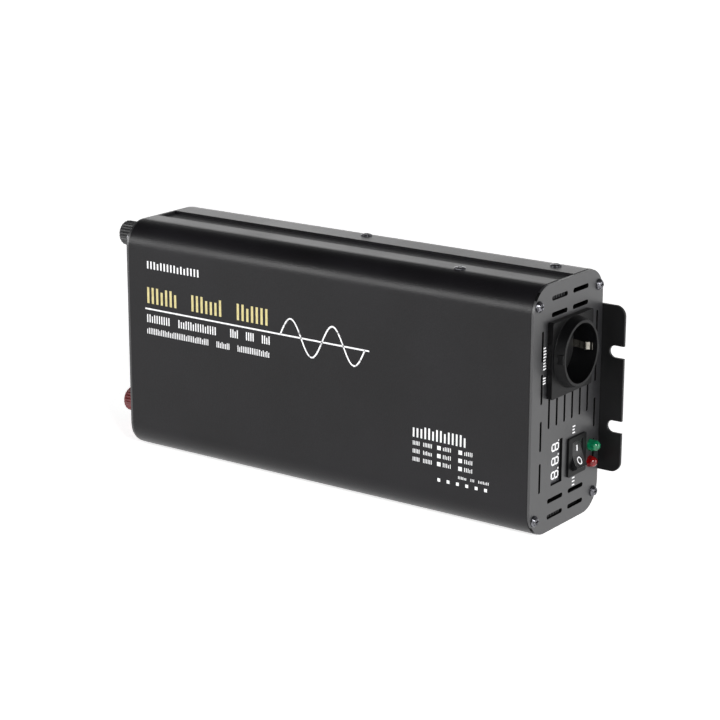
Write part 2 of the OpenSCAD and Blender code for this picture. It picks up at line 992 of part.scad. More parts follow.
// Welded rings on two crossed wires that end in eyes under the fan's screws
module fan_guard() {
    color("#2b2b2d")
        at(0, fan_y, fan_z) {
            for (r = guard_rings)
                translate([-(3 - guard_weld) * wire_r, 0, 0])
                    rotate([0, 90, 0])
                        rotate_extrude() translate([r, 0]) circle(wire_r, $fn = 24);
            for (turn = [45 : 90 : 315])
                rotate([turn, 0, 0])
                    translate([-wire_r, 0, guard_rings[0]])
                        cylinder(r = wire_r, h = eye_out() - guard_rings[0], $fn = 24);
            fan_corners()
                translate([-wire_r, 0, 0])
                    rotate([0, 90, 0])
                        rotate_extrude() translate([eye_r(), 0]) circle(wire_r, $fn = 24);
        }
}

function eye_r() = screw_r + slip + wire_r;
function eye_out() = fan_pitch / sqrt(2) - eye_r();

module fan_screws() {
    color("#1c1c1e")
        at(-2 * wire_r, fan_y, fan_z)
            fan_corners() rotate([0, -90, 0]) pan_screw(fan_screw_l);
}

// ---- Battery terminals ----

module terminal_bush(z) {
    at(0, terminal_y, z)
        difference() {
            union() {
                translate([-bush_t, 0, 0]) rod_x(bush_r, bush_t);
                rod_x(bush_neck_r, panel_t + bush_neck_l);
            }
            translate([-bush_t - cut, 0, 0])
                rod_x(stud_r, bush_t + panel_t + bush_neck_l + 2 * cut);
        }
}

module terminal_stud(z) {
    inner = panel_t + bush_neck_l + 2 * nut_t + strap_t + stud_past;
    at(-stud_out, terminal_y, z) rod_x(stud_r, stud_out + inner);
}

module terminal_washer(z) {
    at(-bush_t - washer_t, terminal_y, z)
        difference() {
            rod_x(washer_r, washer_t);
            translate([-cut, 0, 0]) rod_x(stud_r + running, washer_t + 2 * cut);
        }
}

// A closed cap with a grooved grip and a rounded outer end
module terminal_knob(z) {
    at(-knob_reach, terminal_y, z)
        difference() {
            rotate([0, 90, 0])
                rotate_extrude() {
                    translate([0, knob_edge_r]) square([knob_r, knob_l - knob_edge_r]);
                    square([knob_r - knob_edge_r, knob_l]);
                    translate([knob_r - knob_edge_r, knob_edge_r]) circle(knob_edge_r);
                }
            translate([knob_l - knob_depth, 0, 0])
                rod_x(stud_r + running, knob_depth + cut);
            for (i = [0 : knob_grooves - 1])
                rotate([i * 360 / knob_grooves, 0, 0])
                    translate([-cut, 0, knob_r + groove_r / 3])
                        rod_x(groove_r, cut + knob_l - groove_end);
        }
}

module negative_bush() {
    color("#202022") terminal_bush(terminal_heights[0]);
}

module positive_bush() {
    color("#7d1418") terminal_bush(terminal_heights[1]);
}

module negative_stud() {
    color("#c2a24e") terminal_stud(terminal_heights[0]);
}

module positive_stud() {
    color("#c2a24e") terminal_stud(terminal_heights[1]);
}

module negative_washer() {
    color("#c9c5b8") terminal_washer(terminal_heights[0]);
}

module positive_washer() {
    color("#c9c5b8") terminal_washer(terminal_heights[1]);
}

module negative_knob() {
    color("#2a2a2c") terminal_knob(terminal_heights[0]);
}

module positive_knob() {
    color("#8c1a1e") terminal_knob(terminal_heights[1]);
}

module hex_nut() {
    rotate([0, 90, 0])
        difference() {
            cylinder(r = nut_flat / sqrt(3), h = nut_t, $fn = 6);
            translate([0, 0, -cut]) cylinder(r = stud_r, h = nut_t + 2 * cut);
        }
}

function nut_x() = panel_t + bush_neck_l;
function strap_x() = nut_x() + nut_t;

// One nut holds each stud, a second one clamps its strap
module terminal_nuts() {
    color("#c9c5b8")
        for (z = terminal_heights, x = [nut_x(), strap_x() + strap_t])
            at(x, terminal_y, z) hex_nut();
}

// An angled copper bar from the stud down to the main board
module terminal_strap(z) {
    top_y = terminal_y - strap_top;
    difference() {
        union() {
            at(strap_x(), top_y, z - strap_w / 2) cube([strap_t, main_y - top_y, strap_w]);
            at(strap_x(), main_y - strap_t, z - strap_w / 2)
                cube([strap_l - strap_x(), strap_t, strap_w]);
        }
        at(strap_x() - cut, terminal_y, z) rod_x(stud_r, strap_t + 2 * cut);
    }
}

module negative_strap() {
    color("#b87333") terminal_strap(terminal_heights[0]);
}

module positive_strap() {
    color("#b87333") terminal_strap(terminal_heights[1]);
}

// ---- Circuit ----

module board_hole_places() {
    for (x = board_holes, z = [board_hole_z, body_h - board_hole_z]) at(x, main_y, z) children();
}

module main_board() {
    low_z = rail_in + board_gap;
    color("#1f5a35")
        difference() {
            at(board_start, main_y, low_z)
                cube([body_l - board_start - board_end, board_t, body_h - 2 * low_z]);
            board_hole_places() translate([0, -cut, 0]) rod_y(screw_r, board_t + 2 * cut);
        }
}

module board_standoffs() {
    color("#c2a24e")
        board_hole_places()
            translate([0, board_t, 0])
                difference() {
                    rod_y(standoff_r, board_y - board_t - shell_t);
                    translate([0, -cut, 0]) rod_y(screw_r, cut + standoff_hole);
                }
}

module board_screws() {
    color("#c9c5b8")
        board_hole_places() rotate([90, 0, 0]) pan_screw(board_t + standoff_hole - blind);
}

module transformer_places() {
    for (i = [0 : transformer_n - 1])
        at(transformer_x + i * transformer_pitch, main_y - core_h / 2, transformer_z) children();
}

// Side view of a winding's space in the core: two windows beside the centre leg
module core_windows() {
    for (side = [-1, 1])
        translate([side * (core_w / 4), 0])
            square([core_w / 2 - 2 * core_leg, core_h - 2 * core_leg], center = true);
}

module transformer_cores() {
    color("#3a3a3c")
        transformer_places()
            linear_extrude(core_t, center = true)
                difference() {
                    square([core_w, core_h], center = true);
                    core_windows();
                }
}

// Coil around the centre leg, through both windows
module transformer_windings() {
    leg_w = 2 * core_leg;
    coil_w = core_w - 2 * core_leg;
    coil_h = core_h - 2 * core_leg;
    color("#b5762c")
        transformer_places()
            difference() {
                cube([coil_w, coil_h, winding_t], center = true);
                cube([leg_w, coil_h + cut, core_t], center = true);
            }
}

module capacitor(r, length) {
    rotate([90, 0, 0]) cylinder(r = r, h = length);
}

module input_capacitors() {
    color("#22314a")
        for (i = [0 : input_cap_n - 1])
            at(input_cap_x, main_y, mid_z + (i - (input_cap_n - 1) / 2) * input_cap_pitch)
                capacitor(input_cap_r, input_cap_l);
}

module bus_capacitors() {
    color("#1c1c20")
        for (i = [0 : bus_cap_n - 1])
            at(bus_cap_x + i * bus_cap_pitch, main_y, bus_cap_z)
                capacitor(bus_cap_r, bus_cap_l);
}

module choke_place() {
    at(choke_x, main_y - choke_wrap, choke_z) rotate([90, 0, 0]) children();
}

module choke_section(grow) {
    translate([choke_in_r - grow, -grow])
        square([choke_out_r - choke_in_r + 2 * grow, choke_h + 2 * grow]);
}

module choke_core() {
    color("#c8b23c") choke_place() rotate_extrude() choke_section(0);
}

module choke_winding() {
    color("#b5762c")
        choke_place()
            rotate_extrude(angle = 300)
                difference() {
                    choke_section(choke_wrap);
                    choke_section(0);
                }
}

module film_capacitors() {
    color("#8a2f22")
        for (i = [0, 1])
            at(film_x - film_w / 2, main_y - film_h, film_z + i * film_pitch)
                cube([film_w, film_h, film_t]);
}

function fet_at(i) = fet_x + i * fet_pitch;

// Power transistors lie on the upper rail with their legs on the main board
module transistor_row() {
    for (i = [0 : fet_n - 1])
        at(fet_at(i) - fet_w / 2, main_y - fet_lead_l - fet_h, body_h - rail_in - fet_t) {
            cube([fet_w, fet_h, fet_t]);
            for (lead = [-1, 0, 1])
                translate([
                    fet_w / 2 + lead * fet_lead_pitch - fet_lead_w / 2,
                    fet_h,
                    (fet_t - fet_lead_w) / 2
                ])
                    cube([fet_lead_w, fet_lead_l, fet_lead_w]);
        }
}

module top_transistors() {
    color("#1d1d1f") transistor_row();
}

module bottom_transistors() {
    color("#1d1d1f") to_bottom() transistor_row();
}

// A clamp screw stands between every second pair of transistors
module clamp_screw_places() {
    for (i = [0 : 2 : fet_n - 2]) at(fet_at(i) + fet_pitch / 2, clamp_y, 0) children();
}

module clamp_bar() {
    bar_end = fet_w / 2;
    difference() {
        at(fet_at(0) - bar_end, clamp_y - clamp_w / 2, body_h - rail_in - fet_t - clamp_t)
            cube([(fet_n - 1) * fet_pitch + 2 * bar_end, clamp_w, clamp_t]);
        clamp_screw_places()
            translate([0, 0, body_h - rail_in - fet_t - clamp_t - cut])
                cylinder(r = screw_r, h = clamp_t + 2 * cut);
    }
}

module clamp_bars() {
    color("#a8a8aa") {
        clamp_bar();
        to_bottom() clamp_bar();
    }
}

module clamp_screw_row() {
    clamp_screw_places()
        translate([0, 0, body_h - rail_in - fet_t - clamp_t])
            mirror([0, 0, 1]) pan_screw(clamp_t + fet_t + rail_t - blind);
}

module clamp_screws() {
    color("#c9c5b8") {
        clamp_screw_row();
        to_bottom() clamp_screw_row();
    }
}

module control_board() {
    color("#1f5a35")
        at(control_x, main_y - control_h, control_z) cube([control_l, control_h, board_t]);
}

module control_parts() {
    color("#18181a")
        for (i = [0 : chip_n - 1])
            at(control_x + chip_w + i * chip_pitch, main_y - control_h / 2, control_z + board_t)
                translate([-chip_w / 2, -chip_w / 2, 0]) cube([chip_w, chip_w, chip_t]);
}

module fuses() {
    color("#d08a1e")
        for (i = [0 : fuse_n - 1])
            at(fuse_x, main_y - fuse_h, mid_z + (i - (fuse_n - 1) / 2) * fuse_pitch)
                translate([0, 0, -fuse_w / 2]) cube([fuse_l, fuse_h, fuse_w]);
}

module output_block() {
    color("#2f6b46")
        at(block_x, main_y - block_t, outlet_z - block_h / 2)
            cube([block_w, block_t, block_h]);
}

// From the output block to the outlet's two contacts
module output_wires() {
    tab_x = recess_x - insert_t - holder_t - tab_l;
    color("#7a4a2a")
        for (side = [-1, 1])
            at(0, 0, outlet_z + side * pin_offset)
                wire([
                    [block_x + block_w, main_y - block_t / 2, 0],
                    [block_x + block_w + lead_out, main_y - block_t / 2, 0],
                    [tab_x - lead_out, outlet_y, 0],
                    [tab_x, outlet_y, 0]
                ], core_wire_r);
}

// From the switch's tabs back to the main board
module switch_wires() {
    tab_x = body_l - switch_depth - tab_l;
    board_x = body_l - board_end - switch_wire_in;
    color("#222222")
        for (side = [-1, 1])
            at(0, 0, switch_z + side * tab_w)
                wire([
                    [tab_x, switch_y, 0],
                    [tab_x - lead_out, switch_y, 0],
                    [board_x, main_y - switch_wire_rise, 0],
                    [board_x, main_y, 0]
                ], thin_wire_r);
}

// From the fan frame to the main board
module fan_wires() {
    color("#a02020")
        for (side = [-1, 1])
            at(0, 0, fan_z + fan_pitch / 2 - fan_wire_drop + 2 * thin_wire_r * side)
                wire([
                    [panel_t + fan_t, main_y - 2 * fan_wire_rise, 0],
                    [board_start + fan_wire_in, main_y - fan_wire_rise, 0],
                    [board_start + fan_wire_in, main_y, 0]
                ], thin_wire_r);
}

front_shell();
rear_shell();
top_rail();
bottom_rail();
outlet_panel();
terminal_panel();
outlet_panel_screws();
terminal_panel_screws();
top_case_screws();
bottom_case_screws();
back_plate();
back_plate_screws();
outlet_body();
outlet_insert();
outlet_contacts();
earth_clips();
switch_body();
power_rocker();
switch_tabs();
display_module();
display_board();
green_lamp();
red_lamp();
lamp_board();
fan_frame();
fan_rotor();
fan_guard();
fan_screws();
negative_bush();
positive_bush();
negative_stud();
positive_stud();
negative_washer();
positive_washer();
negative_knob();
positive_knob();
terminal_nuts();
negative_strap();
positive_strap();
main_board();
board_standoffs();
board_screws();
transformer_cores();
transformer_windings();
input_capacitors();
bus_capacitors();
choke_core();
choke_winding();
film_capacitors();
top_transistors();
bottom_transistors();
clamp_bars();
clamp_screws();
control_board();
control_parts();
fuses();
output_block();
output_wires();
switch_wires();
fan_wires();
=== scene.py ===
import json
import math
import random

import bmesh
import bpy
from mathutils import Matrix, Vector


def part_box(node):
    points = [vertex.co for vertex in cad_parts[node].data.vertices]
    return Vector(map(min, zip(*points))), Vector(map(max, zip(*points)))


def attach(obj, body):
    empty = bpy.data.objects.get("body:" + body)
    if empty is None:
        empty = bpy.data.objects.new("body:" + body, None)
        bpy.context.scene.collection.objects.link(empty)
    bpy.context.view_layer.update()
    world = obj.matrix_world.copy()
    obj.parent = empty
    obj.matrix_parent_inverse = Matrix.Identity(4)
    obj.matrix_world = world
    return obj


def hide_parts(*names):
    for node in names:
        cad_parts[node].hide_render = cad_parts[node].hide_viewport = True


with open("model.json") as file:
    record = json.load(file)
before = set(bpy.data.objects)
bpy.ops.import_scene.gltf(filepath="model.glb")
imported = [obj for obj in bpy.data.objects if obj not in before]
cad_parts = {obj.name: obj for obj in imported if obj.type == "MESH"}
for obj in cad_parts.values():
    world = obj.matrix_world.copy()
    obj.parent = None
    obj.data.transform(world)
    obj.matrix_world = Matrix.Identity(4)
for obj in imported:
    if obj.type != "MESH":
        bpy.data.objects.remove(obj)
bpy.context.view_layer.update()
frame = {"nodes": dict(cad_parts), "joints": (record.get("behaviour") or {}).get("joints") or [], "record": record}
nodes = frame["nodes"]
scene = bpy.context.scene
body_of_node = {
    node: body
    for body, members in frame["record"]["behaviour"]["bodies"].items()
    for node in members
}
slot_of_node = {row["node"]: row["material_slot"] for row in frame["record"]["subparts"]}

MM = 0.001
# Thickness of the printed marks
INK = 0.04 * MM

# ---- Places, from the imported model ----

panel_low, panel_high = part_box("outlet_panel")
front_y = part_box("front_shell")[0].y
case_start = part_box("terminal_panel")[0].x
panel_face = panel_high.x


def middle(node):
    low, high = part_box(node)
    return (low + high) / 2


# ---- Small helpers ----


def linear(code):
    """An sRGB hex colour as linear RGBA"""
    channels = [int(code[i : i + 2], 16) / 255 for i in (1, 3, 5)]
    low = [c / 12.92 for c in channels]
    high = [((c + 0.055) / 1.055) ** 2.4 for c in channels]
    return [*(lo if c <= 0.04045 else hi for c, lo, hi in zip(channels, low, high)), 1]


def add_node(tree, kind, values=None, links=None, **settings):
    """Adds a node: values and links go to sockets by name or number, settings to the node itself"""
    node = tree.nodes.new(kind)
    for name, value in settings.items():
        setattr(node, name, value)
    for socket, value in (values or {}).items():
        node.inputs[socket].default_value = value
    for socket, source in (links or {}).items():
        tree.links.new(source, node.inputs[socket])
    return node


# ---- Materials ----


def place_in(tree, stretch=(1, 1, 1)):
    """Position on the piece in metres, squeezed along each axis by stretch"""
    place = add_node(tree, "ShaderNodeTexCoord").outputs["Object"]
    if stretch == (1, 1, 1):
        return place
    return add_node(
        tree, "ShaderNodeMapping", {"Scale": stretch}, {"Vector": place}
    ).outputs["Vector"]


def noise_in(tree, size, stretch=(1, 1, 1), detail=2.0):
    """Noise whose spots are about size metres wide"""
    return add_node(
        tree,
        "ShaderNodeTexNoise",
        {"Scale": 1 / size, "Detail": detail},
        {"Vector": place_in(tree, stretch)},
    ).outputs["Fac"]


def surface(
    name,
    dark,
    light,
    spot,
    roughness,
    grain,
    height,
    stretch=(1, 1, 1),
    metallic=0.0,
    ior=1.5,
    coat=0.0,
):
    """A finish that drifts between two colours and two roughnesses over spots, with a fine grain"""
    material = bpy.data.materials.new(name)
    material.use_nodes = True
    tree = material.node_tree
    shader = tree.nodes["Principled BSDF"]
    shader.inputs["Metallic"].default_value = metallic
    shader.inputs["IOR"].default_value = ior
    shader.inputs["Coat Weight"].default_value = coat
    drift = noise_in(tree, spot, stretch)
    ramp = add_node(tree, "ShaderNodeValToRGB", links={"Fac": drift})
    ramp.color_ramp.elements[0].position = 0.3
    ramp.color_ramp.elements[1].position = 0.7
    ramp.color_ramp.elements[0].color = linear(dark)
    ramp.color_ramp.elements[1].color = linear(light)
    tree.links.new(ramp.outputs["Color"], shader.inputs["Base Color"])
    wear = add_node(
        tree,
        "ShaderNodeMapRange",
        {"From Min": 0.3, "From Max": 0.7, "To Min": roughness[0], "To Max": roughness[1]},
        {"Value": drift},
    )
    tree.links.new(wear.outputs["Result"], shader.inputs["Roughness"])
    bump = add_node(
        tree,
        "ShaderNodeBump",
        {"Strength": 1.0, "Distance": height},
        {"Height": noise_in(tree, grain, stretch)},
    )
    tree.links.new(bump.outputs["Normal"], shader.inputs["Normal"])
    return material


def mixed_in(material, other, factor, roughness=None):
    """Paints a second colour over a material where factor is 1"""
    tree = material.node_tree
    shader = tree.nodes["Principled BSDF"]
    below = shader.inputs["Base Color"].links[0].from_socket
    mix = add_node(
        tree, "ShaderNodeMix", {7: linear(other)}, {0: factor, 6: below}, data_type="RGBA"
    )
    tree.links.new(mix.outputs[2], shader.inputs["Base Color"])
    if roughness is not None:
        under = shader.inputs["Roughness"].links[0].from_socket
        blend = add_node(
            tree,
            "ShaderNodeMix",
            {3: roughness},
            {0: factor, 2: under},
        )
        tree.links.new(blend.outputs[0], shader.inputs["Roughness"])


def stripes(tree, axis, pitch, share):
    """1 on stripes across an axis: pitch apart in metres, each taking that share of it"""
    part = add_node(tree, "ShaderNodeSeparateXYZ", links={0: place_in(tree)}).outputs[axis]
    turns = add_node(tree, "ShaderNodeMath", {1: 1 / pitch}, {0: part}, operation="MULTIPLY")
    within = add_node(tree, "ShaderNodeMath", links={0: turns.outputs[0]}, operation="FRACT")
    return add_node(
        tree, "ShaderNodeMath", {1: share}, {0: within.outputs[0]}, operation="LESS_THAN"
    ).outputs[0]


# Anodised aluminium, extruded and etched satin: near black, grainy where light grazes it.
# The etch is drawn 1.2 mm coarse, since the real 0.05 mm would not show.
anodised = surface(
    "satin black anodised aluminium",
    "#100F11",
    "#151417",
    60 * MM,
    (0.30, 0.36),
    1.2 * MM,
    0.09 * MM,
    ior=1.34,
)
# The sheet panels have the same finish on rolled sheet: smoother, with more sheen, and a base colour a little
# lighter as painted light, for the brighter light that falls on the end faces
sheet_black_lightened_painted_light = surface(
    "black anodised aluminium sheet, lightened as painted light",
    "#1E1E20",
    "#262628",
    30 * MM,
    (0.36, 0.42),
    0.5 * MM,
    0.006 * MM,
    ior=1.76,
)
# The back plate is powder coated: deeper black, with the fine orange peel of cured powder
powder_coat = surface(
    "black powder coat", "#0A0A0B", "#0F0F10", 40 * MM, (0.38, 0.46), 1.2 * MM, 0.02 * MM, ior=1.4
)
# Punched walls of the panels' openings, coloured near black as painted shade for the shade that falls inside them:
# no light comes back from them
opening_walls_painted_shade = surface(
    "near-black painted shade on opening walls", "#040404", "#080808", 2 * MM, (0.6, 0.75), 0.3 * MM, 0.006 * MM, ior=1.2
)
# The rails keep the die's long draw lines, 0.4 mm apart, under a dull anodised film
drawn_rail = surface(
    "dull anodised extrusion",
    "#1E1E20",
    "#29292B",
    3 * MM,
    (0.50, 0.62),
    0.4 * MM,
    0.01 * MM,
    stretch=(0.02, 1, 1),
)
# Blackened steel: dark oxide with bright glints where the recess and rim are rubbed
black_steel = surface(
    "black oxide steel", "#3C3C40", "#85858A", 1.2 * MM, (0.14, 0.24), 0.3 * MM, 0.004 * MM, metallic=0.9
)
# Moulded ABS: spark-eroded mould texture, which looks soft and even
black_abs = surface(
    "black moulded ABS", "#050506", "#09090A", 15 * MM, (0.36, 0.44), 0.5 * MM, 0.006 * MM, ior=1.26
)
# Contact holder in glass-filled nylon, a little greyer and duller than the ABS
filled_nylon = surface(
    "glass filled nylon", "#151516", "#1C1C1D", 8 * MM, (0.5, 0.6), 0.4 * MM, 0.006 * MM
)
# The rocker comes from a polished mould
polished_abs = surface(
    "polished black ABS", "#121213", "#171718", 10 * MM, (0.2, 0.3), 0.6 * MM, 0.002 * MM
)
# Nickel plate over spring bronze: warm white metal
nickel = surface(
    "nickel plated bronze", "#8F8B82", "#A8A59C", 2 * MM, (0.18, 0.28), 0.3 * MM, 0.002 * MM, metallic=1.0
)
# Zinc plated steel: cool grey with a faint milky bloom
zinc = surface(
    "zinc plated steel", "#B9BABB", "#D2D2CF", 3 * MM, (0.28, 0.42), 0.4 * MM, 0.003 * MM, metallic=1.0
)
# Turned brass, with lathe marks 0.25 mm apart around the bar
brass = surface(
    "turned brass", "#B6953F", "#CDAF5B", 2 * MM, (0.2, 0.32), 0.25 * MM, 0.004 * MM, metallic=1.0
)
# Rolled copper bar, slightly browned by handling
copper = surface(
    "rolled copper", "#A8623A", "#C4794C", 12 * MM, (0.28, 0.45), 0.6 * MM, 0.003 * MM, metallic=1.0
)
# Plain aluminium strip, with rolling marks along its length
plain_aluminium = surface(
    "rolled aluminium",
    "#9B9C9E",
    "#B4B5B6",
    4 * MM,
    (0.35, 0.48),
    0.3 * MM,
    0.004 * MM,
    stretch=(0.05, 1, 1),
    metallic=1.0,
)
# Negative knob and bush: hard charcoal moulding with a slight sheen on the rib crests
black_phenolic = surface(
    "black phenolic", "#1C1C1E", "#262628", 4 * MM, (0.34, 0.46), 0.4 * MM, 0.008 * MM
)
# Positive knob and bush: the same moulding in a deep oxide red
red_phenolic = surface(
    "red phenolic", "#5E1014", "#74181C", 4 * MM, (0.34, 0.46), 0.4 * MM, 0.008 * MM
)
# Fan parts in PBT, a tough matt plastic
black_pbt = surface(
    "black moulded PBT", "#161618", "#1D1D1F", 10 * MM, (0.44, 0.54), 0.5 * MM, 0.006 * MM
)
# Dipped steel wire: glossy black coat with a gentle ripple
coated_wire = surface(
    "black dipped steel wire", "#202022", "#2A2A2C", 6 * MM, (0.22, 0.32), 2 * MM, 0.02 * MM
)
# The display's face: smoked grey and even, so that only the figures stand out
smoked_face = surface(
    "smoked polycarbonate", "#38383B", "#3E3E42", 12 * MM, (0.25, 0.32), 0.8 * MM, 0.002 * MM
)
# White print: flat and chalky, the brightest thing on the case
white_ink = surface(
    "white screen ink", "#E4E4E6", "#F6F6F7", 4 * MM, (0.5, 0.6), 0.4 * MM, 0.003 * MM
)
# Gold print: pale straw with a little more sheen than the white
gold_ink = surface(
    "gold screen ink", "#C2B47A", "#D4C88F", 4 * MM, (0.42, 0.52), 0.4 * MM, 0.003 * MM
)
# Green lamp: deep sea green with a hard wet gloss
green_epoxy = surface(
    "green epoxy", "#02452B", "#087E52", 2.5 * MM, (0.06, 0.1), 1 * MM, 0.001 * MM, coat=0.2
)
# Red lamp: dark ruby with the same gloss
red_epoxy = surface(
    "red epoxy", "#520205", "#860609", 2.5 * MM, (0.06, 0.1), 1 * MM, 0.001 * MM, coat=0.2
)
# Pressed ferrite: dark grey, dry and slightly speckled
ferrite = surface(
    "pressed ferrite", "#2C2C2E", "#414144", 0.8 * MM, (0.6, 0.75), 0.3 * MM, 0.01 * MM
)
# Transistors and chips: dull black moulding, drier than the ABS
moulded_epoxy = surface(
    "black moulded epoxy", "#161617", "#1F1F20", 3 * MM, (0.5, 0.62), 0.3 * MM, 0.006 * MM
)
# Sleeves shrunk over the battery-side capacitors: smooth dark blue
blue_sleeve = surface(
    "blue PVC sleeve", "#1C2A44", "#26375A", 8 * MM, (0.25, 0.35), 1 * MM, 0.004 * MM
)
# Sleeves shrunk over the high-voltage capacitors: smooth black
black_sleeve = surface(
    "black PVC sleeve", "#18181B", "#222226", 8 * MM, (0.25, 0.35), 1 * MM, 0.004 * MM
)
for sleeve in (blue_sleeve, black_sleeve):
    # One pale band down each sleeve marks the negative side
    mixed_in(sleeve, "#9FA6B4", stripes(sleeve.node_tree, "X", 40 * MM, 0.08))
# Enamelled copper wire wound 0.9 mm apart: warm amber turns with dark gaps
enamel_wire = surface(
    "enamelled copper wire", "#9C5A22", "#BF7A34", 6 * MM, (0.2, 0.32), 1 * MM, 0.01 * MM, metallic=0.6
)
mixed_in(enamel_wire, "#4E2A10", stripes(enamel_wire.node_tree, "Z", 0.9 * MM, 0.22))
# Baked paint on the ring core: mustard yellow, chalky
core_paint = surface(
    "yellow core paint", "#BBA535", "#D2BE4A", 5 * MM, (0.45, 0.55), 0.6 * MM, 0.006 * MM
)
# Dipped film capacitors: brick red, glossy and slightly lumpy
dipped_epoxy = surface(
    "dipped epoxy", "#7C2A1E", "#96382A", 6 * MM, (0.22, 0.32), 4 * MM, 0.05 * MM
)
# Blade fuses: bright orange with a clean gloss
tinted_fuse = surface(
    "orange polycarbonate", "#C07A16", "#DB9426", 4 * MM, (0.15, 0.22), 1 * MM, 0.002 * MM
)
# Terminal block: mid green, waxy
green_nylon = surface(
    "green nylon", "#28603E", "#32734B", 6 * MM, (0.4, 0.5), 0.5 * MM, 0.005 * MM
)
# Brown wire insulation: smooth and waxy
brown_pvc = surface(
    "brown PVC", "#6C4024", "#80502F", 5 * MM, (0.35, 0.45), 0.6 * MM, 0.003 * MM
)
# Black wire insulation: smooth and waxy, lighter than the plastics around it
black_pvc = surface(
    "black PVC", "#1A1A1B", "#232324", 5 * MM, (0.35, 0.45), 0.6 * MM, 0.003 * MM
)
# Red wire insulation: smooth and waxy, the brightest red inside
red_pvc = surface(
    "red PVC", "#8F1A1A", "#AB2525", 5 * MM, (0.35, 0.45), 0.6 * MM, 0.003 * MM
)
# Circuit boards: glossy green mask over laminate, with pale tracks 1.2 mm wide every 5 mm
laminate = surface(
    "green solder mask", "#154A2A", "#1E6038", 10 * MM, (0.25, 0.35), 0.5 * MM, 0.003 * MM
)
mixed_in(laminate, "#4E9A5E", stripes(laminate.node_tree, "X", 5 * MM, 0.24), 0.3)

node_materials = {
    "case_finish": anodised,
    "rail_finish": drawn_rail,
    "screw_finish": black_steel,
    "outlet_plastic": black_abs,
    "insert_plastic": filled_nylon,
    "contact_metal": brass,
    "clip_metal": nickel,
    "switch_plastic": black_abs,
    "rocker_plastic": polished_abs,
    "tab_metal": zinc,
    "display_plastic": smoked_face,
    "circuit_board": laminate,
    "green_lens": green_epoxy,
    "red_lens": red_epoxy,
    "fan_plastic": black_pbt,
    "guard_wire": coated_wire,
    "black_bush": black_phenolic,
    "red_bush": red_phenolic,
    "stud_metal": brass,
    "washer_metal": zinc,
    "black_knob": black_phenolic,
    "red_knob": red_phenolic,
    "copper": copper,
    "ferrite": ferrite,
    "winding": enamel_wire,
    "capacitor_blue": blue_sleeve,
    "capacitor_black": black_sleeve,
    "choke_coating": core_paint,
    "film_case": dipped_epoxy,
    "chip_plastic": moulded_epoxy,
    "clamp_metal": plain_aluminium,
    "fuse_plastic": tinted_fuse,
    "block_plastic": green_nylon,
    "brown_wire": brown_pvc,
    "black_wire": black_pvc,
    "red_wire": red_pvc,
}
for name, node in nodes.items():
    node.data.materials.clear()
    node.data.materials.append(node_materials[slot_of_node[name]])


# ---- Building pieces ----


def show(name, work, material, like, replace=False, sharp=30):
    """Makes a piece from a bmesh. It rides with the CAD node that it is like, and may replace it"""
    mesh = bpy.data.meshes.new(name)
    work.to_mesh(mesh)
    work.free()
    mesh.materials.append(material)
    mesh.polygons.foreach_set("use_smooth", [True] * len(mesh.polygons))
    mesh.set_sharp_from_angle(angle=math.radians(sharp))
    piece = bpy.data.objects.new(name, mesh)
    scene.collection.objects.link(piece)
    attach(piece, body_of_node[like])
    if replace:
        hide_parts(like)
    return piece


def soften(node, width, material=None, segments=2, sink=None):
    """A copy of a CAD node with its sharp edges rounded, as every real edge is"""
    work = bmesh.new()
    work.from_mesh(nodes[node].data)
    bmesh.ops.remove_doubles(work, verts=work.verts, dist=0.002 * MM)
    bmesh.ops.dissolve_limit(
        work, angle_limit=math.radians(0.5), verts=work.verts, edges=work.edges
    )
    if sink:
        sink(work)
    material = material or node_materials[slot_of_node[node]]
    piece = show(node + "_shape", work, material, node, replace=True)
    edge = piece.modifiers.new("edges", "BEVEL")
    edge.width = width
    edge.segments = segments
    edge.limit_method = "ANGLE"
    edge.angle_limit = math.radians(30)
    edge.use_clamp_overlap = True
    even = piece.modifiers.new("even_shading", "WEIGHTED_NORMAL")
    even.keep_sharp = True
    even.weight = 100
    return piece


def ring(work, place, around, reach):
    """Points round an X axis through place, the first towards +Y; reach(k) is point k's radius"""
    points = []
    for k in range(around):
        angle = k * math.tau / around
        out = Vector((0, reach(k) * math.cos(angle), reach(k) * math.sin(angle)))
        points.append(work.verts.new(place + out))
    return points


def lathe(work, profile, origin, around):
    """Turns (along, radius) points about the X axis through origin; radius 0 closes it"""
    rings = []
    for along, radius in profile:
        place = origin + Vector((along, 0, 0))
        rings.append(ring(work, place, around if radius else 1, lambda k: radius))
    skin(work, rings, around)


def skin(work, rings, around):
    """Joins neighbouring rings with faces; a ring of one point closes to a fan"""
    for first, second in zip(rings, rings[1:]):
        for k in range(around):
            n = (k + 1) % around
            corners = [
                first[k % len(first)],
                first[n % len(first)],
                second[n % len(second)],
                second[k % len(second)],
            ]
            work.faces.new(list(dict.fromkeys(corners)))


def slab(work, outline, to_point, thickness):
    """A thin plate from a flat outline; to_point(u, v, depth) gives each corner's place"""
    top = [work.verts.new(to_point(u, v, thickness)) for u, v in outline]
    bottom = [work.verts.new(to_point(u, v, 0)) for u, v in outline]
    work.faces.new(top)
    work.faces.new(bottom[::-1])
    for i in range(len(outline)):
        n = (i + 1) % len(outline)
        work.faces.new([bottom[i], bottom[n], top[n], top[i]])


def bar(u0, v0, u1, v1):
    return [(u0, v0), (u1, v0), (u1, v1), (u0, v1)]


# ---- Case ----


def sink_front(work):
    """Lets the printed marks stand level with the case's front face"""
    for vert in work.verts:
        if vert.co.y < front_y + INK / 2:
            vert.co.y += INK


